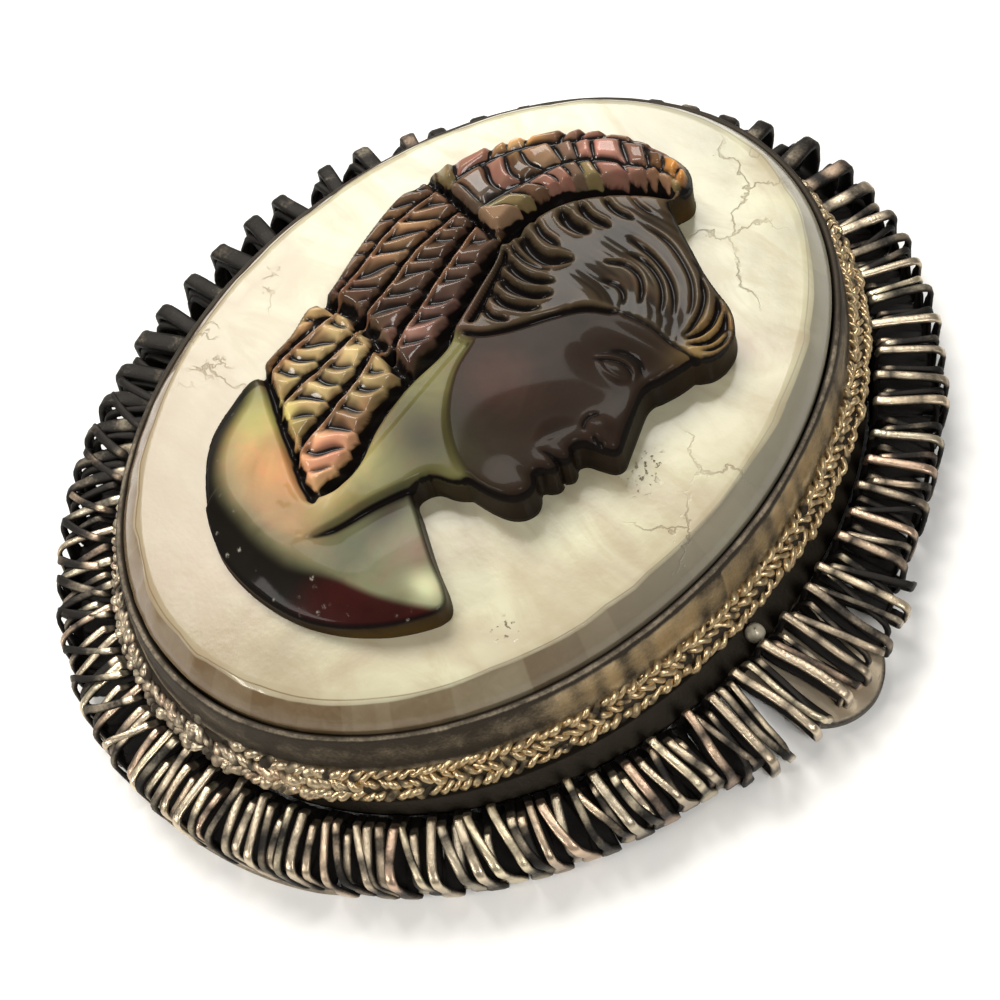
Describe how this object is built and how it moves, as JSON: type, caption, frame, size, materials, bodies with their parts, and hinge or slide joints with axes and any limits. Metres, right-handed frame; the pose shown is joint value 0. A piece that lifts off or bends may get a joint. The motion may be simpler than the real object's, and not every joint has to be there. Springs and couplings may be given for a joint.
{
  "type": "cameo brooch",
  "caption": "Oval brooch lying face up: a carved dark shell profile bust on a thick white shell plate, in a bezel with a rope edge and a border of coiled wire, with a pin behind.",
  "frame": {"origin": "under the middle of the whole brooch, on the plane that it rests on", "axes": "+Z out of the face, +Y to twelve o'clock (the top of the bust), +X to three o'clock (the way the bust faces)"},
  "size_m": [0.045, 0.051, 0.0117],
  "materials": {
    "setting_metal": "tarnished, brushed, with bright worn edges",
    "white_shell": "polished mother of pearl with faint bands",
    "dark_shell": "polished dark shell with green and pink lustre",
    "coil_wire": "flattened wire, oxidised between the turns",
    "pin_metal": "plain worn metal"
  },
  "bodies": {
    "root": {"setting": "setting_metal", "shell_plate": "white_shell", "cameo": "dark_shell", "coil_border": "coil_wire", "pin": "pin_metal"}
  },
  "joints": []
}
